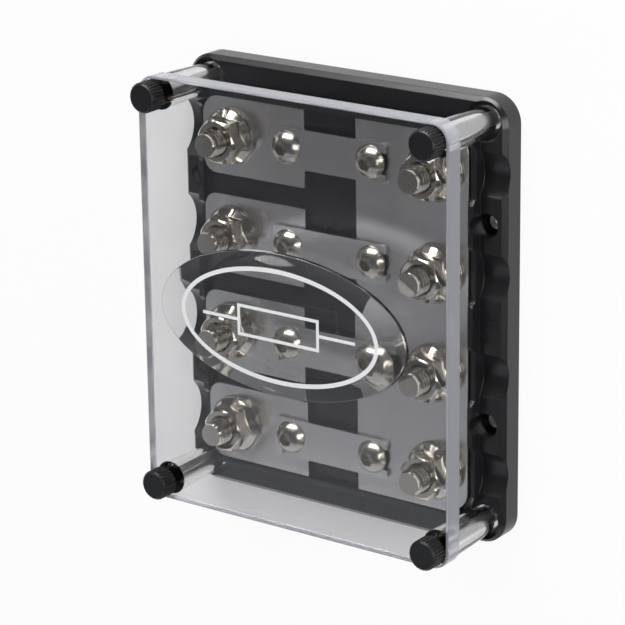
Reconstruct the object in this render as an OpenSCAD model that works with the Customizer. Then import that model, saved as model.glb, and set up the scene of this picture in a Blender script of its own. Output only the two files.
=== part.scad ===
// Fused distribution block, four ways, lying on its back.
// X runs across the block from the outputs to the common bus, Y along the
// rows, Z out of the clear cover. The origin is the middle of the back face.

/* [Rows] */
// Number of fused ways
ways = 4; // [2:1:5]
// Distance between neighbouring rows
row_pitch = 31; // [28:0.5:36]
// Distance between the studs of one row
stud_span = 73.8; // [68:0.2:80]
// Distance between the two screws of one link
link_span = 30.5; // [28:0.5:34]

/* [Plates] */
// Thickness of the plated output plates and the bus
plate_t = 2; // [1.5:0.1:3]
// Height of one output plate along Y
plate_h = 24.4; // [22:0.2:26]
// Gap between the output plates and the bus
plate_gap = 18.8; // [14:0.2:20]
// Distance from a stud's axis to the outer edge of its plate
plate_edge = 10.4; // [10:0.1:12]
// Corner radius of an output plate
plate_r = 4.5; // [1:0.5:6]
// Corner radius of the plate and bus corners beside the posts
post_corner_r = 6; // [5:0.5:7]
// Play between a plate and the rim round it
plate_play = 0.3; // [0.1:0.1:0.6]

/* [Base] */
// Height of the outer ledge above the back face
base_t = 8; // [7.5:0.5:12]
// Radius of the base's outer corners
base_r = 8.5; // [6:0.5:12]
// Chamfer along the ledge's outer edge
base_chamfer = 1.5; // [0.5:0.25:2.5]
// Width of the ledge at the cable sides
ledge_w = 8.8; // [8:0.2:12]
// Width of the ledge at the two ends
ledge_end_w = 8.6; // [8:0.2:12]
// Rise of the plate floor above the ledge
floor_rise = 1.5; // [1:0.25:3]
// Thickness of the rim round the plates
rim_t = 1.6; // [1.2:0.1:3]
// Height of the rim above the plate floor at the cables
rim_low = 1; // [0.5:0.1:1.5]
// Height of the rim above the plate floor between the cables
rim_high = 2.7; // [2:0.1:4]
// Length of the low part of the rim at each cable
rim_gap = 15; // [12:0.5:17]

/* [Cable grooves] */
// Radius of the cable grooves
groove_r = 11; // [9:0.5:13]
// Depth of the output side's grooves below the ledge
groove_out = 5.4; // [2:0.2:5.6]
// Depth of the bus side's grooves below the ledge
groove_in = 2.4; // [1:0.2:4]

/* [Mounting holes] */
// Diameter of the four screw holes
hole_d = 4.4; // [3.5:0.1:5]
// Diameter of the recess for the screw head
hole_head_d = 7.4; // [6.5:0.1:8]
// Thickness of the floor under the screw head
hole_floor = 3; // [2:0.5:5]
// Distance from the hole's axis to the base's side
hole_inset = 6.4; // [5.5:0.1:7]

/* [Studs and nuts] */
// Diameter of the studs
stud_d = 8; // [6:1:8]
// Height of the studs above the plates
stud_h = 13.5; // [12:0.5:15]
// Chamfer at the stud's free end
stud_chamfer = 1; // [0.5:0.25:1.5]
// Width across flats of the hexagons
hex_af = 13; // [12:0.5:13]
// Height of the stud's hexagon head
stud_head_h = 5.3; // [4:0.1:5.5]
// Depth of the stud's head below the back face
stud_head_sink = 0.5; // [0.3:0.1:0.8]
// Height of the flange nut
nut_h = 8; // [7:0.5:9]
// Width of the chamfer on a flat at the nut's top
nut_chamfer = 0.3; // [0.2:0.1:0.6]
// Depth of the countersink at the nut's top
nut_sink = 0.7; // [0.3:0.1:1]
// Turn of the nuts on their studs
nut_turn = -9; // [-30:1:30]
// Diameter of the nut's flange
flange_d = 18; // [17:0.5:19]
// Thickness of the flange at its rim
flange_t = 1.2; // [0.8:0.1:2]
// Width of the flat step round the flange
flange_step = 0.5; // [0.3:0.1:1]
// Height at which the flange's slope meets the hexagon
flange_h = 3; // [2.5:0.1:4]

/* [Links and screws] */
// Thickness of a link strip
link_t = 1.2; // [0.8:0.1:2]
// Width of a link strip
link_w = 12.4; // [10:0.2:14]
// Distance from a link screw's axis to the strip's end
link_end = 5.55; // [5:0.05:7]
// Radius of a link strip's corners
link_r = 1.2; // [0.4:0.2:2]
// Width of the link's slots
link_slot = 6.6; // [6.4:0.1:7]
// Diameter of the link screws
screw_d = 6; // [5:0.5:6]
// Length of the link screws under the head
screw_l = 8; // [6:0.5:8.5]
// Diameter of the button head
screw_head_d = 10.5; // [9:0.5:11]
// Height of the button head
screw_head_h = 3.3; // [2.5:0.1:3.6]
// Height that the flat face takes off the button's dome
screw_flat = 0.2; // [0.1:0.05:0.4]
// Room in the base below a link screw's tip
screw_room = 1; // [0.5:0.1:1.2]
// Width across flats of the head's hexagon socket
socket_af = 4; // [3:0.5:4]
// Depth of the head's hexagon socket
socket_deep = 2; // [1:0.1:2.2]

/* [Clear cover] */
// Thickness of the cover plate
cover_t = 6.3; // [4:0.1:8]
// Chamfer along the cover plate's edges
cover_chamfer = 0.5; // [0.2:0.1:1]
// Distance from a post's axis to the cover's edge
cover_margin = 5.75; // [5.5:0.05:7]
// Length of the posts below the cover plate
post_l = 23.8; // [22:0.2:30]
// Diameter of a post where it meets the cover plate
post_d = 10.6; // [10:0.1:11]
// Diameter of a post at its tip
post_tip_d = 8.8; // [8:0.1:9.5]
// Distance from a post's axis to the base's side
post_inset_x = 7.9; // [7.5:0.1:9]
// Distance from a post's axis to the base's end
post_inset_y = 7.15; // [6.9:0.05:8]
// Depth of the round socket that takes the post's tip
seat_depth = 3; // [2:0.5:3.5]
// Play round a post's tip in its socket
seat_play = 1.6; // [0.5:0.1:1.8]
// Gap under a post's tip
seat_gap = 0.1; // [0.05:0.05:0.3]
// Length of the raised oval pad on the cover
oval_l = 90.6; // [60:0.2:92]
// Width of the raised oval pad on the cover
oval_w = 45; // [30:0.2:60]
// Height of the oval pad
oval_t = 2.4; // [0.8:0.1:3]
// Number of flats round the oval pad
pad_sides = 72; // [36:4:96]
// Place of the oval's middle across the cover
oval_x = -3; // [-6:0.1:6]
// Place of the oval's middle along the cover
oval_y = -2.1; // [-6:0.1:6]

/* [Thumb screws] */
// Diameter of the knurled knob
knob_d = 9.5; // [9:0.1:11]
// Height of the knurled knob
knob_h = 5.4; // [4:0.1:8]
// Number of ridges round the knob
knob_teeth = 28; // [20:1:40]
// Depth of the grooves between the ridges
knob_tooth = 0.4; // [0.2:0.05:0.6]
// Chamfer round the knob's face
knob_chamfer = 0.7; // [0.3:0.1:1]
// Diameter of the steel shank
shank_d = 4; // [3:0.5:4]
// Depth of the shank in the knob
shank_in = 3.4; // [2:0.2:3.8]
// Length of shank below a post's tip
shank_out = 3.4; // [2:0.1:3.6]
// Outer diameter of the brass insert
insert_d = 6.5; // [5.5:0.1:7]
// Length of the brass insert
insert_l = 4; // [2:0.1:4]

/* [Fits] */
// Radial clearance of a thread in its hole
thread_play = 0.08; // [0.05:0.01:0.1]
// Radial clearance of a stud or screw in a plain hole
hole_play = 0.2; // [0.1:0.05:0.4]
// Radial clearance of a link screw's tip in the base
tip_play = 0.6; // [0.3:0.1:1]
// Clearance on each flat of a hexagon in its pocket
hex_play = 0.1; // [0.05:0.05:0.3]
// Radial clearance of the shank in its knob
knob_play = 0.02; // [0.01:0.01:0.05]
// Radial clearance of an insert in its hole
insert_play = 0.02; // [0.01:0.01:0.05]

/* [Hidden] */
$fn = 64;
// Small overlap of cutting tools past a face
cut = 1;
// Depth of the pad's foot in the cover plate
pad_sink = 0.5;
floor_z = base_t + floor_rise;
plate_z = floor_z + plate_t;
link_z = plate_z + link_t;
plate_in = plate_gap / 2;
plate_out = stud_span / 2 + plate_edge;
end_y = (ways - 1) / 2 * row_pitch + plate_h / 2;
rim_in_x = plate_out + plate_play;
rim_in_y = end_y + plate_play;
rim_out_x = rim_in_x + rim_t;
rim_out_y = rim_in_y + rim_t;
base_w = 2 * (rim_out_x + ledge_w);
base_h = 2 * (rim_out_y + ledge_end_w);
post_x = base_w / 2 - post_inset_x;
post_y = base_h / 2 - post_inset_y;
seat_z = base_t - seat_depth;
seat_r = post_tip_d / 2 + seat_play;
tip_z = seat_z + seat_gap;
cover_z = tip_z + post_l;
top_z = cover_z + cover_t;
link_l = link_span + 2 * link_end;
screw_top = screw_head_h - screw_flat;
hole_x = base_w / 2 - hole_inset;
hole_y = (ways / 2 - 1) * row_pitch;
head_z = stud_head_sink + stud_head_h;
stud_top = plate_z + stud_h;
hex_r = hex_af / 2 / cos(30);

// Middle of a row, counted from 1 at the +Y end
function row_y(i) = ((ways + 1) / 2 - i) * row_pitch;
// Corners 1 to 4: -X +Y, +X +Y, -X -Y, +X -Y
function corner_x(i) = (i % 2 == 1 ? -1 : 1) * post_x;
function corner_y(i) = (i <= 2 ? 1 : -1) * post_y;

// Rectangle from two opposite corners, with its own radius at each corner,
// listed from the low corner round against the clock
module plate_outline(x0, y0, x1, y1, r) {
    difference() {
        translate([x0, y0]) square([x1 - x0, y1 - y0]);
        corner_cut(x0, y0, 1, 1, r[0]);
        corner_cut(x1, y0, -1, 1, r[1]);
        corner_cut(x1, y1, -1, -1, r[2]);
        corner_cut(x0, y1, 1, -1, r[3]);
    }
}

// What a corner of radius r takes away, with its inside towards sx, sy
module corner_cut(x, y, sx, sy, r) {
    if (r > 0) {
        translate([x, y]) scale([sx, sy]) difference() {
            translate([-cut, -cut]) square(r + cut);
            translate([r, r]) circle(r);
        }
    }
}

// Block with rounded corners and a chamfer along its top edge
module chamfered_block(w, h, r, t, c) {
    for (sx = [-1, 1], sy = [-1, 1]) {
        translate([sx * (w / 2 - r), sy * (h / 2 - r), 0]) {
            cylinder(r = r, h = t - c);
            translate([0, 0, t - c]) cylinder(r1 = r, r2 = r - c, h = c);
        }
    }
    chamfered_bar(w, h - 2 * r, t, c);
    rotate([0, 0, 90]) chamfered_bar(h, w - 2 * r, t, c);
}

// Bar as wide as w, running l along Y, with both top edges chamfered
module chamfered_bar(w, l, t, c) {
    translate([0, l / 2, 0]) rotate([90, 0, 0]) linear_extrude(l) polygon([
        [-w / 2, 0], [w / 2, 0], [w / 2, t - c],
        [w / 2 - c, t], [c - w / 2, t], [-w / 2, t - c]
    ]);
}

// Moulded base: ledge, raised rim, plate floor, grooves, sockets and pockets
module base() {
    color([0.11, 0.11, 0.115]) difference() {
        union() {
            chamfered_block(base_w, base_h, base_r, base_t, base_chamfer);
            translate([-rim_out_x, -rim_out_y, base_t - cut])
                cube([2 * rim_out_x, 2 * rim_out_y, floor_z + rim_high - base_t + cut]);
        }
        translate([-rim_in_x, -rim_in_y, floor_z])
            cube([2 * rim_in_x, 2 * rim_in_y, rim_high + cut]);
        for (i = [1:ways]) {
            translate([0, row_y(i), 0]) {
                cable_pass();
                for (s = [-1, 1]) {
                    translate([s * stud_span / 2, 0, 0]) stud_pocket();
                    translate([s * link_span / 2, 0, 0]) screw_pocket();
                }
            }
        }
        for (sx = [-1, 1], sy = [-1, 1])
            translate([sx * hole_x, sy * hole_y, 0]) mounting_hole();
        for (i = [1:4])
            translate([corner_x(i), corner_y(i), 0]) post_socket();
    }
}

// Room for one row's cables: low rim at both sides and a groove in each ledge
module cable_pass() {
    low_z = floor_z + rim_low;
    top = floor_z + rim_high + cut;
    half = rim_gap / 2;
    wide = half + top - low_z;
    translate([-rim_out_x - cut, 0, 0]) rotate([90, 0, 90])
        linear_extrude(2 * (rim_out_x + cut)) polygon([
            [-half, low_z], [half, low_z], [wide, top], [-wide, top]
        ]);
    translate([rim_out_x, 0, base_t - groove_in + groove_r])
        rotate([0, 90, 0]) cylinder(r = groove_r, h = ledge_w + cut);
    translate([-rim_out_x, 0, base_t - groove_out + groove_r])
        rotate([0, -90, 0]) cylinder(r = groove_r, h = ledge_w + cut);
}

// Hexagon pocket from the back, and the hole for the stud's shank
module stud_pocket() {
    translate([0, 0, -cut])
        cylinder(r = hex_r + hex_play / cos(30), h = head_z + cut, $fn = 6);
    translate([0, 0, -cut]) cylinder(r = stud_d / 2 + hole_play, h = floor_z + 2 * cut);
}

// Blind hole that clears the tip of a link screw
module screw_pocket() {
    low_z = link_z - screw_l - screw_room;
    translate([0, 0, low_z])
        cylinder(r = screw_d / 2 + tip_play, h = floor_z - low_z + cut);
}

// Through hole with a round recess for the screw's head
module mounting_hole() {
    translate([0, 0, -cut]) cylinder(r = hole_d / 2, h = base_t + 2 * cut);
    translate([0, 0, hole_floor])
        cylinder(r = hole_head_d / 2, h = floor_z + rim_high - hole_floor + cut);
}

// Round socket for a post's tip, with the insert's hole in its floor
module post_socket() {
    translate([0, 0, seat_z]) cylinder(r = seat_r, h = floor_z + rim_high - seat_z + cut);
    translate([0, 0, seat_z - insert_l]) cylinder(r = insert_d / 2 + insert_play, h = insert_l + cut);
}

// Brass thread insert under a post
module insert(i) {
    color([0.78, 0.62, 0.33]) translate([corner_x(i), corner_y(i), seat_z - insert_l])
        difference() {
            cylinder(r = insert_d / 2, h = insert_l);
            translate([0, 0, -cut]) cylinder(r = shank_d / 2 + thread_play, h = insert_l + 2 * cut);
        }
}

// Holes of one row's stud and screw, on the side given by s
module plate_holes(s) {
    translate([s * stud_span / 2, 0]) circle(stud_d / 2 + hole_play);
    translate([s * link_span / 2, 0]) circle(screw_d / 2 + thread_play);
}

// Separate plated output plate of one row
module output_plate(i) {
    first = i == 1 ? post_corner_r : plate_r;
    last = i == ways ? post_corner_r : plate_r;
    color([0.68, 0.68, 0.67]) translate([0, row_y(i), floor_z])
        linear_extrude(plate_t) difference() {
            plate_outline(-plate_out, -plate_h / 2, -plate_in, plate_h / 2,
                          [last, 0, 0, first]);
            plate_holes(-1);
        }
}

// Common plated bus under every row's second stud
module input_bus() {
    color([0.68, 0.68, 0.67]) translate([0, 0, floor_z])
        linear_extrude(plate_t) difference() {
            plate_outline(plate_in, -end_y, plate_out, end_y,
                          [0, post_corner_r, post_corner_r, 0]);
            for (i = [1:ways]) translate([0, row_y(i)]) plate_holes(1);
        }
}

// Stud with its hexagon head in the back of the base
module stud(s, i) {
    color([0.72, 0.7, 0.66]) translate([s * stud_span / 2, row_y(i), stud_head_sink]) {
        cylinder(r = hex_r, h = stud_head_h, $fn = 6);
        cylinder(d = stud_d, h = stud_top - stud_head_sink - stud_chamfer);
        translate([0, 0, stud_top - stud_head_sink - stud_chamfer])
            cylinder(d1 = stud_d, d2 = stud_d - 2 * stud_chamfer, h = stud_chamfer);
    }
}

// Hexagon nut with a sloped flange, standing on its plate
module nut(s, i) {
    bore_r = stud_d / 2 + thread_play;
    face_r = hex_af / 2 - nut_chamfer;
    color([0.75, 0.73, 0.69]) translate([s * stud_span / 2, row_y(i), plate_z])
        difference() {
            union() {
                cylinder(d = flange_d, h = flange_t);
                translate([0, 0, flange_t])
                    cylinder(d1 = flange_d - 2 * flange_step, d2 = hex_af, h = flange_h - flange_t);
                intersection() {
                    rotate([0, 0, nut_turn]) cylinder(r = hex_r, h = nut_h, $fn = 6);
                    cylinder(r1 = face_r + nut_h, r2 = face_r, h = nut_h);
                }
            }
            translate([0, 0, -cut]) cylinder(r = bore_r, h = nut_h + 2 * cut);
            translate([0, 0, nut_h - nut_sink])
                cylinder(r1 = bore_r, r2 = bore_r + nut_sink + cut, h = nut_sink + cut);
        }
}

// Flat plated link: one slot open to its side, one open to its end
module link(i) {
    r = link_r;
    color([0.7, 0.7, 0.69]) translate([0, row_y(i), plate_z])
        linear_extrude(link_t) difference() {
            plate_outline(-link_l / 2, -link_w / 2, link_l / 2, link_w / 2, [r, r, r, r]);
            translate([-link_span / 2, 0]) slot_cut(-90);
            translate([link_span / 2, 0]) slot_cut(0);
        }
}

// Slot with a round bottom, open towards the given angle
module slot_cut(turn) {
    circle(d = link_slot);
    rotate(turn) translate([0, -link_slot / 2]) square([link_l, link_slot]);
}

// Button head screw with a hexagon socket
module link_screw(s, i) {
    ball_r = (pow(screw_head_d / 2, 2) + pow(screw_head_h, 2)) / (2 * screw_head_h);
    color([0.75, 0.72, 0.66]) translate([s * link_span / 2, row_y(i), link_z])
        difference() {
            union() {
                intersection() {
                    cylinder(d = screw_head_d, h = screw_top);
                    translate([0, 0, screw_head_h - ball_r]) sphere(ball_r);
                }
                translate([0, 0, -screw_l]) cylinder(d = screw_d, h = screw_l + screw_top / 2);
            }
            translate([0, 0, screw_top - socket_deep])
                cylinder(r = socket_af / 2 / cos(30), h = socket_deep + cut, $fn = 6);
        }
}

// Clear moulded cover: plate, four tapered posts and a raised oval pad
module clear_cover() {
    r = cover_margin;
    c = cover_chamfer;
    w = 2 * (post_x + r);
    h = 2 * (post_y + r);
    color([0.72, 0.76, 0.82, 0.4]) difference() {
        union() {
            translate([0, 0, cover_z + c]) chamfered_block(w, h, r, cover_t - c, c);
            translate([0, 0, cover_z + c]) mirror([0, 0, 1]) chamfered_block(w, h, r, c, c);
            for (i = [1:4])
                translate([corner_x(i), corner_y(i), tip_z])
                    cylinder(d1 = post_tip_d, d2 = post_d, h = post_l);
            translate([oval_x, oval_y, top_z]) oval_pad();
        }
        for (i = [1:4])
            translate([corner_x(i), corner_y(i), tip_z - cut])
                cylinder(r = shank_d / 2 + thread_play, h = post_l + cover_t + 2 * cut);
    }
}

// Raised oval pad
module oval_pad() {
    translate([0, 0, -pad_sink]) linear_extrude(pad_sink + oval_t) polygon([
        for (k = [0:pad_sides - 1])
            let (t = 360 * k / pad_sides) [oval_l / 2 * cos(t), oval_w / 2 * sin(t)]
    ]);
}

// Knurled thumb knob standing on the cover, with four corners to a ridge
module thumb_knob(i) {
    n = 4 * knob_teeth;
    color([0.07, 0.07, 0.07]) translate([corner_x(i), corner_y(i), top_z])
        difference() {
            intersection() {
                linear_extrude(knob_h) polygon([
                    for (k = [0:n - 1])
                        let (r = knob_d / 2 - (k % 4 < 2 ? 0 : knob_tooth))
                            r * [cos(360 * k / n), sin(360 * k / n)]
                ]);
                cylinder(r1 = knob_d / 2 - knob_chamfer + knob_h, r2 = knob_d / 2 - knob_chamfer,
                         h = knob_h);
            }
            translate([0, 0, -cut])
                cylinder(r = shank_d / 2 + knob_play, h = shank_in + cut);
        }
}

// Steel shank that the knob is moulded on
module thumb_shank(i) {
    low = tip_z - shank_out;
    color([0.7, 0.7, 0.7]) translate([corner_x(i), corner_y(i), low])
        cylinder(d = shank_d, h = top_z + shank_in - low);
}

base();
output_plate(1);  // output_plate_1
output_plate(2);  // output_plate_2
output_plate(3);  // output_plate_3
output_plate(4);  // output_plate_4
input_bus();
stud(-1, 1);  // output_stud_1
stud(-1, 2);  // output_stud_2
stud(-1, 3);  // output_stud_3
stud(-1, 4);  // output_stud_4
stud(1, 1);  // bus_stud_1
stud(1, 2);  // bus_stud_2
stud(1, 3);  // bus_stud_3
stud(1, 4);  // bus_stud_4
nut(-1, 1);  // output_nut_1
nut(-1, 2);  // output_nut_2
nut(-1, 3);  // output_nut_3
nut(-1, 4);  // output_nut_4
nut(1, 1);  // bus_nut_1
nut(1, 2);  // bus_nut_2
nut(1, 3);  // bus_nut_3
nut(1, 4);  // bus_nut_4
link(1);  // link_1
link(2);  // link_2
link(3);  // link_3
link(4);  // link_4
link_screw(-1, 1);  // output_screw_1
link_screw(-1, 2);  // output_screw_2
link_screw(-1, 3);  // output_screw_3
link_screw(-1, 4);  // output_screw_4
link_screw(1, 1);  // bus_screw_1
link_screw(1, 2);  // bus_screw_2
link_screw(1, 3);  // bus_screw_3
link_screw(1, 4);  // bus_screw_4
clear_cover();
insert(1);  // insert_1
insert(2);  // insert_2
insert(3);  // insert_3
insert(4);  // insert_4
thumb_knob(1);  // thumb_knob_1
thumb_knob(2);  // thumb_knob_2
thumb_knob(3);  // thumb_knob_3
thumb_knob(4);  // thumb_knob_4
thumb_shank(1);  // thumb_shank_1
thumb_shank(2);  // thumb_shank_2
thumb_shank(3);  // thumb_shank_3
thumb_shank(4);  // thumb_shank_4
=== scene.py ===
import math

import bmesh
import bpy
from mathutils import Matrix, Vector


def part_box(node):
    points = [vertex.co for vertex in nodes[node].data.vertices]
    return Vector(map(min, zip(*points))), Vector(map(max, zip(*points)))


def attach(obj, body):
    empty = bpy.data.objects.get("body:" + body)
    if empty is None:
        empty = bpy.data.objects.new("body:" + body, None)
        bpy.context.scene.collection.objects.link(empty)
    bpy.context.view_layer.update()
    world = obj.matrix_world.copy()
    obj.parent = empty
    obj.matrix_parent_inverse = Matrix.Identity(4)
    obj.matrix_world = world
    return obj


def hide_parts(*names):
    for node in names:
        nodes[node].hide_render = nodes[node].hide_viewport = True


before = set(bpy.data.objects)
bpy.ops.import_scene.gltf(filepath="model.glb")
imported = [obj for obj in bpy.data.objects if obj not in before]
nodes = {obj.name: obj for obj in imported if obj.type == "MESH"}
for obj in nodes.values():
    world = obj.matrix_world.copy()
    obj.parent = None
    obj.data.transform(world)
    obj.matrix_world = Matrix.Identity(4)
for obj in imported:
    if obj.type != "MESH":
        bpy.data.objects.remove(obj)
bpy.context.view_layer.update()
WAYS = 4
MM = 0.001


# The base is one black moulding in a hard, slightly glossy plastic. Its outer
# faces carry the fine grain of the mould, and every edge has a small radius
# that catches the light.
def surface_group():
    """Grain, a wandering roughness and two tones, on edges with a small radius."""
    group = bpy.data.node_groups.new("surface", "ShaderNodeTree")
    for name, kind, value in (
        ("Tone", "NodeSocketColor", (0.5, 0.5, 0.5, 1)),
        ("Second Tone", "NodeSocketColor", (0.5, 0.5, 0.5, 1)),
        ("Stretch", "NodeSocketVector", (1, 1, 1)),
        ("Scale", "NodeSocketFloat", 1.0),
        ("Depth", "NodeSocketFloat", 0.1),
        ("Roughness Low", "NodeSocketFloat", 0.3),
        ("Roughness High", "NodeSocketFloat", 0.4),
        ("Edge", "NodeSocketFloat", 0.0003),
    ):
        socket = group.interface.new_socket(name, in_out="INPUT", socket_type=kind)
        socket.default_value = value
    group.interface.new_socket("Color", in_out="OUTPUT", socket_type="NodeSocketColor")
    group.interface.new_socket("Roughness", in_out="OUTPUT", socket_type="NodeSocketFloat")
    group.interface.new_socket("Normal", in_out="OUTPUT", socket_type="NodeSocketVector")
    add, link = group.nodes.new, group.links.new
    given = add("NodeGroupInput")
    result = add("NodeGroupOutput")
    place = add("ShaderNodeTexCoord")
    stretch = add("ShaderNodeVectorMath")
    stretch.operation = "MULTIPLY"
    fine = add("ShaderNodeTexNoise")
    fine.inputs["Detail"].default_value = 3
    broad = add("ShaderNodeTexNoise")
    broad.inputs["Scale"].default_value = 60
    broad.inputs["Detail"].default_value = 4
    tones = add("ShaderNodeMix")
    tones.data_type = "RGBA"
    spread = add("ShaderNodeMapRange")
    bump = add("ShaderNodeBump")
    bump.inputs["Distance"].default_value = 0.00005
    edge = add("ShaderNodeBevel")
    edge.samples = 4
    link(place.outputs["Object"], stretch.inputs[0])
    link(given.outputs["Stretch"], stretch.inputs[1])
    link(stretch.outputs["Vector"], fine.inputs["Vector"])
    link(stretch.outputs["Vector"], broad.inputs["Vector"])
    link(given.outputs["Scale"], fine.inputs["Scale"])
    link(given.outputs["Depth"], bump.inputs["Strength"])
    link(given.outputs["Edge"], edge.inputs["Radius"])
    link(edge.outputs["Normal"], bump.inputs["Normal"])
    link(fine.outputs["Fac"], bump.inputs["Height"])
    link(broad.outputs["Fac"], spread.inputs["Value"])
    link(broad.outputs["Fac"], tones.inputs["Factor"])
    link(given.outputs["Tone"], tones.inputs["A"])
    link(given.outputs["Second Tone"], tones.inputs["B"])
    link(given.outputs["Roughness Low"], spread.inputs["To Min"])
    link(given.outputs["Roughness High"], spread.inputs["To Max"])
    link(tones.outputs["Result"], result.inputs["Color"])
    link(spread.outputs["Result"], result.inputs["Roughness"])
    link(bump.outputs["Normal"], result.inputs["Normal"])
    return group


SURFACE = surface_group()


def finish(name, tones, metallic=0.0, stretch=(1, 1, 1), scale=1500, depth=0.1,
           rough=(0.3, 0.4), edge=0.3, specular=0.5):
    """A Principled material in two linear tones; edge is its radius in millimetres."""
    material = bpy.data.materials.new(name)
    material.use_nodes = True
    tree = material.node_tree
    shader = tree.nodes["Principled BSDF"]
    shader.inputs["Metallic"].default_value = metallic
    shader.inputs["Specular IOR Level"].default_value = specular
    look = tree.nodes.new("ShaderNodeGroup")
    look.node_tree = SURFACE
    look.inputs["Tone"].default_value = (*tones[0], 1)
    look.inputs["Second Tone"].default_value = (*tones[1], 1)
    look.inputs["Stretch"].default_value = stretch
    look.inputs["Scale"].default_value = scale
    look.inputs["Depth"].default_value = depth
    look.inputs["Roughness Low"].default_value = rough[0]
    look.inputs["Roughness High"].default_value = rough[1]
    look.inputs["Edge"].default_value = edge * MM
    tree.links.new(look.outputs["Color"], shader.inputs["Base Color"])
    tree.links.new(look.outputs["Roughness"], shader.inputs["Roughness"])
    tree.links.new(look.outputs["Normal"], shader.inputs["Normal"])
    return material


def dress(names, material):
    """Gives CAD nodes their finish."""
    for name in names:
        for held in nodes[name].material_slots:
            held.material = material


def numbered(stem, count=WAYS):
    """The names of a piece that every row or corner has."""
    return [f"{stem}_{i}" for i in range(1, count + 1)]


black_moulding = finish("black_moulding", ((0.008, 0.008, 0.009), (0.013, 0.013, 0.014)), scale=2600,
                        depth=0.12, rough=(0.22, 0.3), edge=0.4, specular=0.45)
dress(["base"], black_moulding)


# The thread inserts are turned brass, pressed into the base under the posts.
insert_brass = finish("insert_brass", ((0.4, 0.31, 0.18), (0.33, 0.25, 0.14)), 1.0, scale=900,
                      depth=0.05, rough=(0.25, 0.32), edge=0.1)
dress(numbered("insert"), insert_brass)


# The output plates and the common bus are punched from 2 mm strip and plated.
# Their faces are satin, with faint marks from rolling, and mirror the nuts that
# stand on them.
plated_strip = finish("plated_strip", ((0.6, 0.595, 0.59), (0.68, 0.675, 0.665)), 1.0,
                      stretch=(1, 0.12, 1), scale=2200, depth=0.05, rough=(0.2, 0.28), edge=0.2)
dress(numbered("output_plate") + ["input_bus"], plated_strip)


# The studs are hexagon bolts set in the base from behind: a head, a plain
# shank, and a rolled thread from inside the plate to the chamfered free end.
def place_mesh(name, bm, material, body, replaced=()):
    """Makes a piece from a mesh that is already in its place."""
    bmesh.ops.recalc_face_normals(bm, faces=bm.faces)
    mesh = bpy.data.meshes.new(name)
    bm.to_mesh(mesh)
    bm.free()
    piece = bpy.data.objects.new(name, mesh)
    bpy.context.collection.objects.link(piece)
    mesh.materials.append(material)
    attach(piece, body)
    for node in replaced:
        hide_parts(node)
    return piece


def turned(bm, profile, steps=40):
    """Spins a profile of (radius, height) points round Z."""
    verts = [bm.verts.new((r, 0, z)) for r, z in profile]
    edges = [bm.edges.new(pair) for pair in zip(verts, verts[1:])]
    bmesh.ops.spin(bm, geom=verts + edges, cent=(0, 0, 0), axis=(0, 0, 1), angle=math.tau,
                   steps=steps, use_merge=True)


def thread(bm, root, crest, low, high, pitch, steps=36):
    """Winds a V ridge round Z as one closed solid."""
    turns = (high - low - pitch) / pitch
    profile = [(root, low), (crest, low + 0.34 * pitch), (crest, low + 0.66 * pitch), (root, low + pitch)]
    face = bm.faces.new([bm.verts.new((r, 0, z)) for r, z in profile])
    bmesh.ops.spin(bm, geom=[face], cent=(0, 0, 0), axis=(0, 0, 1), dvec=(0, 0, pitch / steps),
                   angle=math.tau * turns, steps=int(steps * turns), use_duplicate=False)


def hexagon_head(bm, flats, low, high, bevel):
    """A hexagon head with softened edges."""
    made = bmesh.ops.create_cone(bm, cap_ends=True, segments=6, radius1=flats / 2 / math.cos(math.pi / 6),
                                 radius2=flats / 2 / math.cos(math.pi / 6), depth=high - low)
    verts = made["verts"]
    bmesh.ops.rotate(bm, verts=verts, cent=(0, 0, 0), matrix=Matrix.Rotation(math.pi / 2, 3, "Z"))
    bmesh.ops.translate(bm, verts=verts, vec=(0, 0, (low + high) / 2))
    edges = list({e for v in verts for e in v.link_edges})
    bmesh.ops.bevel(bm, geom=edges, offset=bevel, segments=2, affect="EDGES", profile=0.5, material=-1)


stud_d = 8 * MM
stud_pitch = 1.25 * MM
stud_chamfer = 1 * MM
thread_depth = 0.54 * stud_pitch
stud_steel = finish("stud_steel", ((0.58, 0.55, 0.49), (0.5, 0.475, 0.42)), 1.0, scale=1300,
                    depth=0.05, rough=(0.1, 0.16), edge=0.03)
for side in ("output", "bus"):
    for stud_name in numbered(side + "_stud"):
        low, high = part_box(stud_name)
        plate_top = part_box("input_bus")[1][2]
        flats = high[1] - low[1]
        head_top = low[2] + 5.3 * MM
        thread_low = plate_top - 3 * MM
        root = stud_d / 2 - thread_depth
        end_r = root + 0.3 * MM
        bm = bmesh.new()
        turned(bm, [
            (0, head_top - 0.2 * MM), (stud_d / 2, head_top - 0.2 * MM), (stud_d / 2, thread_low),
            (root, thread_low + thread_depth), (root, high[2] - stud_chamfer),
            (end_r, high[2] - 0.5 * stud_chamfer), (end_r - 0.15 * MM, high[2]), (0, high[2]),
        ])
        thread(bm, root - 0.1 * MM, stud_d / 2, thread_low, high[2] - stud_chamfer * 0.6, stud_pitch)
        bmesh.ops.remove_doubles(bm, verts=bm.verts, dist=1e-7)
        hexagon_head(bm, flats, low[2], head_top, 0.3 * MM)
        bmesh.ops.translate(bm, verts=bm.verts, vec=((low[0] + high[0]) / 2, (low[1] + high[1]) / 2, 0))
        place_mesh(stud_name + "_bolt", bm, stud_steel, "block", [stud_name])


# The links are thin plated strips, slotted at both ends for their screws. They
# are a little brighter than the plates.
link_strip = finish("link_strip", ((0.64, 0.635, 0.625), (0.72, 0.715, 0.7)), 1.0,
                    stretch=(0.12, 1, 1), scale=2200, depth=0.05, rough=(0.18, 0.26), edge=0.12)
dress(numbered("link"), link_strip)


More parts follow.
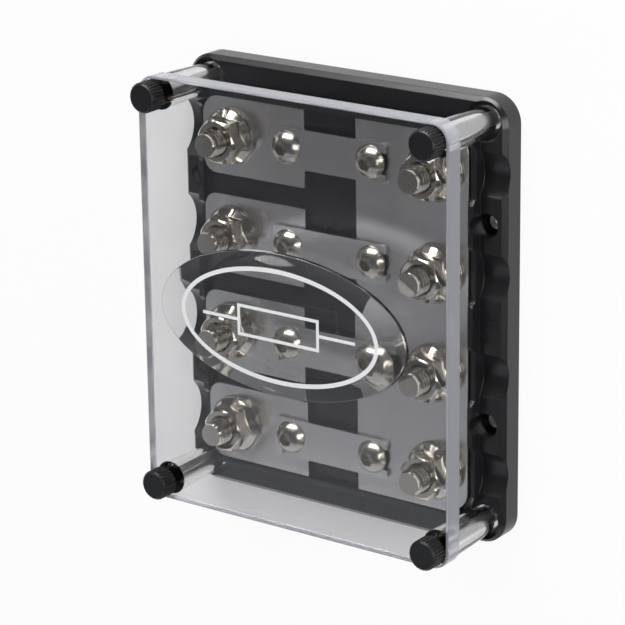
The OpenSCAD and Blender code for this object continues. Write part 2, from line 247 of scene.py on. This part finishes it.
# The flange nuts are bright plated steel with a warm cast. The button heads of
# the link screws have the same plating over a rougher, cold-formed surface.
bright_steel = finish("bright_steel", ((0.56, 0.53, 0.47), (0.48, 0.455, 0.4)), 1.0, scale=700,
                      depth=0.04, rough=(0.08, 0.14), edge=0.2)
dress(numbered("output_nut") + numbered("bus_nut"), bright_steel)
screw_steel = finish("screw_steel", ((0.5, 0.475, 0.425), (0.42, 0.4, 0.355)), 1.0, scale=1100,
                     depth=0.1, rough=(0.16, 0.25), edge=0.15)
dress(numbered("output_screw") + numbered("bus_screw"), screw_steel)


# The cover, its four hollow posts and the raised oval pad are one clear
# moulding. Lamps shine through it, so it lays no dark shadow on the plates.
def clear_finish(name, tint, clear=1.0, rough=(0.0, 0.04)):
    """Clear moulding that bends light and lets lamp light pass."""
    material = bpy.data.materials.new(name)
    material.use_nodes = True
    tree = material.node_tree
    shader = tree.nodes["Principled BSDF"]
    shader.inputs["Base Color"].default_value = tint
    shader.inputs["IOR"].default_value = 1.49
    shader.inputs["Transmission Weight"].default_value = clear
    place = tree.nodes.new("ShaderNodeTexCoord")
    haze = tree.nodes.new("ShaderNodeTexNoise")
    haze.inputs["Scale"].default_value = 35
    spread = tree.nodes.new("ShaderNodeMapRange")
    spread.inputs["To Min"].default_value = rough[0]
    spread.inputs["To Max"].default_value = rough[1]
    through = tree.nodes.new("ShaderNodeBsdfTransparent")
    through.inputs["Color"].default_value = tint
    rays = tree.nodes.new("ShaderNodeLightPath")
    mix = tree.nodes.new("ShaderNodeMixShader")
    link = tree.links.new
    link(place.outputs["Object"], haze.inputs["Vector"])
    link(haze.outputs["Fac"], spread.inputs["Value"])
    link(spread.outputs["Result"], shader.inputs["Roughness"])
    link(rays.outputs["Is Shadow Ray"], mix.inputs["Fac"])
    link(shader.outputs["BSDF"], mix.inputs[1])
    link(through.outputs["BSDF"], mix.inputs[2])
    link(mix.outputs["Shader"], tree.nodes["Material Output"].inputs["Surface"])
    return material


def rounded_corners(w, h, r, steps=12):
    """Points round a rectangle with round corners, centred on the origin."""
    points = []
    for corner, (sx, sy) in enumerate(((1, 1), (-1, 1), (-1, -1), (1, -1))):
        for k in range(steps + 1):
            t = math.pi / 2 * (corner + k / steps)
            points.append((sx * (w / 2 - r) + r * math.cos(t), sy * (h / 2 - r) + r * math.sin(t)))
    return points


def oval(cx, cy, a, b, count=96):
    """Points round an ellipse."""
    return [(cx + a * math.cos(math.tau * k / count), cy + b * math.sin(math.tau * k / count))
            for k in range(count)]


def ring(bm, points, z):
    """A closed loop of vertices at one height."""
    verts = [bm.verts.new((x, y, z)) for x, y in points]
    edges = [bm.edges.new(pair) for pair in zip(verts, verts[1:] + verts[:1])]
    return verts, edges


def skin(bm, rings):
    """Joins rings of equal length one to the next with quads."""
    for (low, _), (high, _) in zip(rings, rings[1:]):
        for k in range(len(low)):
            bm.faces.new((low[k - 1], low[k], high[k], high[k - 1]))


def quarter(radius, steps=4):
    """Steps of a quarter round: (distance in from the side, distance from the end face)."""
    angles = [math.pi / 2 * k / steps for k in range(steps + 1)]
    return [(radius * (1 - math.sin(a)), radius * (1 - math.cos(a))) for a in angles]


cover_low, cover_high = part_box("clear_cover")
cover_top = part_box("thumb_knob_1")[0][2]
cover_t = 6.3 * MM
cover_under = cover_top - cover_t
cover_w = cover_high[0] - cover_low[0]
cover_h = cover_high[1] - cover_low[1]
cover_r = 5.75 * MM
top_edge, under_edge = 0.7 * MM, 0.25 * MM
ink_t = 0.02 * MM
pad_top = cover_high[2] - 2 * ink_t
pad_x, pad_y = -3 * MM, -2.1 * MM
pad_a, pad_b = 45.3 * MM, 22.5 * MM
plateau = 0.8
post_r, post_tip_r = 5.3 * MM, 4.4 * MM
bore_r = 2.08 * MM
bm = bmesh.new()
outer = [ring(bm, rounded_corners(cover_w - 2 * d, cover_h - 2 * d, cover_r - d), cover_under + z)
         for d, z in quarter(under_edge)]
outer += [ring(bm, rounded_corners(cover_w - 2 * d, cover_h - 2 * d, cover_r - d), cover_top - z)
          for d, z in reversed(quarter(top_edge))]
skin(bm, outer)
for face in bm.faces:
    face.material_index = 1
top_edges, under_edges = list(outer[-1][1]), list(outer[0][1])
pad = []
for share, height in ((1, 0), (0.994, 0.38), (0.985, 0.47), (0.9, 0.76), (plateau + 0.015, 0.96),
                      (plateau - 0.015, 1)):
    z = cover_top + height * (pad_top - cover_top)
    pad.append(ring(bm, oval(pad_x, pad_y, pad_a * share, pad_b * share), z))
skin(bm, pad)
bm.faces.new(pad[-1][0])
top_edges += pad[0][1]
for shank_name in numbered("thumb_shank"):
    low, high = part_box(shank_name)
    x, y = (low[0] + high[0]) / 2, (low[1] + high[1]) / 2
    post = [ring(bm, oval(x, y, post_r, post_r, 48), cover_under),
            ring(bm, oval(x, y, post_tip_r, post_tip_r, 48), cover_low[2] + 0.4 * MM),
            ring(bm, oval(x, y, post_tip_r - 0.4 * MM, post_tip_r - 0.4 * MM, 48), cover_low[2]),
            ring(bm, oval(x, y, bore_r, bore_r, 48), cover_low[2]),
            ring(bm, oval(x, y, bore_r, bore_r, 48), cover_top)]
    skin(bm, post)
    under_edges += post[0][1]
    top_edges += post[-1][1]
for edges in (top_edges, under_edges):
    bmesh.ops.triangle_fill(bm, use_beauty=True, use_dissolve=False, edges=edges, normal=(0, 0, 1))
bm.normal_update()
for face in bm.faces:
    face.smooth = abs(face.normal.z) < 0.9999
for edge in bm.edges:
    edge.smooth = edge.calc_face_angle(0) < math.radians(35)
for edge in pad[0][1]:
    edge.smooth = False
clear_moulding = clear_finish("clear_moulding", (0.895, 0.885, 0.885, 1))
clear_edge = clear_finish("clear_edge", (0.5, 0.51, 0.56, 1), clear=0.6, rough=(0.12, 0.25))
cover = place_mesh("cover_moulding", bm, clear_moulding, "cover", ["clear_cover"])
cover.data.materials.append(clear_edge)
weighted = cover.modifiers.new("flat_faces", "WEIGHTED_NORMAL")
weighted.keep_sharp = True


# A white oval ring and the sign for a fuse are printed on the raised pad.
def printed(bm, outlines, z):
    """Ink between closed outlines and the holes in them."""
    for outer, inner in outlines:
        skin(bm, [ring(bm, outer, z), ring(bm, inner, z)])


def rectangle(cx, cy, w, h):
    """The corners of a rectangle."""
    return [(cx - w / 2, cy - h / 2), (cx + w / 2, cy - h / 2), (cx + w / 2, cy + h / 2), (cx - w / 2, cy + h / 2)]


ring_line = 1.4 * MM
sign_w, sign_h, sign_line, lead_w = 30 * MM, 10 * MM, 1 * MM, 56 * MM
ring_a, ring_b = pad_a * plateau, pad_b * plateau
bm = bmesh.new()
printed(bm, [
    (oval(pad_x, pad_y, ring_a, ring_b), oval(pad_x, pad_y, ring_a - ring_line, ring_b - ring_line)),
    (rectangle(pad_x, pad_y, sign_w, sign_h),
     rectangle(pad_x, pad_y, sign_w - 2 * sign_line, sign_h - 2 * sign_line)),
], pad_top + ink_t)
for s in (-1, 1):
    line = rectangle(pad_x + s * (lead_w + sign_w) / 4, pad_y, (lead_w - sign_w) / 2, sign_line)
    bm.faces.new(ring(bm, line, pad_top + ink_t)[0])
white_ink = finish("white_ink", ((0.95, 0.95, 0.95), (0.9, 0.9, 0.9)), scale=3000, depth=0.1,
                   rough=(0.4, 0.5), edge=0.01)
ink = place_mesh("cover_print", bm, white_ink, "cover")
thick = ink.modifiers.new("thickness", "SOLIDIFY")
thick.thickness = ink_t
thick.offset = 0


# Each thumb screw has a black knurled head moulded on a steel shank, which
# runs down through a post into the insert.
knob_moulding = finish("knob_moulding", ((0.006, 0.006, 0.007), (0.01, 0.01, 0.011)), scale=2000,
                       depth=0.3, rough=(0.35, 0.45), edge=0.12, specular=0.35)
dress(numbered("thumb_knob"), knob_moulding)
shank_steel = finish("shank_steel", ((0.6, 0.6, 0.6), (0.52, 0.52, 0.52)), 1.0, scale=900, depth=0.05,
                     rough=(0.25, 0.32), edge=0.1)
dress(numbered("thumb_shank"), shank_steel)


# A white sheet under the block, with soft lamps over it. The lamps stand so
# that metal faces turned to the camera mirror a dark room and a bright edge.
def sheet_finish():
    """White paper that looks white to the camera and keeps a soft shadow."""
    material = bpy.data.materials.new("white_sheet")
    material.use_nodes = True
    tree = material.node_tree
    shader = tree.nodes["Principled BSDF"]
    shader.inputs["Base Color"].default_value = (0.85, 0.85, 0.85, 1)
    shader.inputs["Roughness"].default_value = 0.9
    glow = tree.nodes.new("ShaderNodeEmission")
    rays = tree.nodes.new("ShaderNodeLightPath")
    link = tree.links.new
    seen = None
    for ray, share in (("Is Camera Ray", 0.93), ("Is Glossy Ray", 0.75), ("Is Transmission Ray", 0.25)):
        part = tree.nodes.new("ShaderNodeMix")
        part.inputs["A"].default_value = 0
        part.inputs["B"].default_value = share
        link(rays.outputs[ray], part.inputs["Factor"])
        if seen:
            link(seen, part.inputs["A"])
        seen = part.outputs["Result"]
    mix = tree.nodes.new("ShaderNodeMixShader")
    link(seen, mix.inputs["Fac"])
    link(shader.outputs["BSDF"], mix.inputs[1])
    link(glow.outputs["Emission"], mix.inputs[2])
    link(mix.outputs["Shader"], tree.nodes["Material Output"].inputs["Surface"])
    return material


bpy.ops.mesh.primitive_plane_add(size=8, location=(0, 0, -0.2 * MM))
sheet = bpy.context.object
sheet.name = "white_sheet"
sheet.data.materials.append(sheet_finish())


def studio_world():
    """A dim room that grows bright towards the near end of the table."""
    world = bpy.data.worlds.new("studio")
    world.use_nodes = True
    tree = world.node_tree
    link = tree.links.new
    way = tree.nodes.new("ShaderNodeTexCoord")
    along = tree.nodes.new("ShaderNodeVectorMath")
    along.operation = "DOT_PRODUCT"
    along.inputs[1].default_value = (-0.25, -0.97, 0)
    ramp = tree.nodes.new("ShaderNodeMapRange")
    ramp.interpolation_type = "SMOOTHSTEP"
    ramp.inputs["From Min"].default_value = 0.35
    ramp.inputs["From Max"].default_value = 0.62
    ramp.inputs["To Min"].default_value = 0.1
    ramp.inputs["To Max"].default_value = 0.85
    room = tree.nodes["Background"]
    room.inputs["Color"].default_value = (0.9, 0.93, 1, 1)
    link(way.outputs["Generated"], along.inputs[0])
    link(along.outputs["Value"], ramp.inputs["Value"])
    link(ramp.outputs["Result"], room.inputs["Strength"])
    return world


bpy.context.scene.world = studio_world()


def soft_lamp(name, place, target, width, height, power):
    """A large soft box aimed at a point of the block."""
    data = bpy.data.lights.new(name, "AREA")
    data.shape = "RECTANGLE"
    data.size = width
    data.size_y = height
    data.energy = power
    lamp = bpy.data.objects.new(name, data)
    bpy.context.collection.objects.link(lamp)
    away = Vector(place) - Vector(target)
    lamp.matrix_world = Matrix.Translation(place) @ away.to_track_quat("Z", "Y").to_matrix().to_4x4()
    return lamp


soft_lamp("lamp_above", (-0.1, 1.3, 0.5), (0, 0, 0), 1.3, 0.5, 27)
soft_lamp("lamp_right", (1.0, 0.1, 0.35), (0, 0, 0), 0.5, 0.9, 7)

# The camera stands to the right of the block and a little above it, turned so
# that the rows run up the picture.
turn = math.radians(34.98)
rise = math.radians(17.9)
roll = math.radians(-0.5)
distance = 0.88859
pixels = 625
focal_px = 2901.07
ahead = Vector((math.sin(turn) * math.cos(rise), math.sin(rise), math.cos(turn) * math.cos(rise)))
upward = (Vector((0, 1, 0)) - ahead * ahead.y).normalized()
right = upward.cross(ahead)
right_rolled = math.cos(roll) * right + math.sin(roll) * upward
up_rolled = -math.sin(roll) * right + math.cos(roll) * upward
camera_data = bpy.data.cameras.new("camera")
camera_data.sensor_width = 36
camera_data.lens = focal_px * camera_data.sensor_width / pixels
camera_data.shift_x = -45.73 / pixels
camera_data.shift_y = -22.42 / pixels
camera_data.clip_start = 0.01
camera = bpy.data.objects.new("camera", camera_data)
bpy.context.collection.objects.link(camera)
turned_axes = Matrix((right_rolled, up_rolled, ahead)).transposed()
camera.matrix_world = Matrix.Translation(ahead * distance) @ turned_axes.to_4x4()
bpy.context.scene.camera = camera
bpy.context.scene.view_settings.view_transform = "Standard"
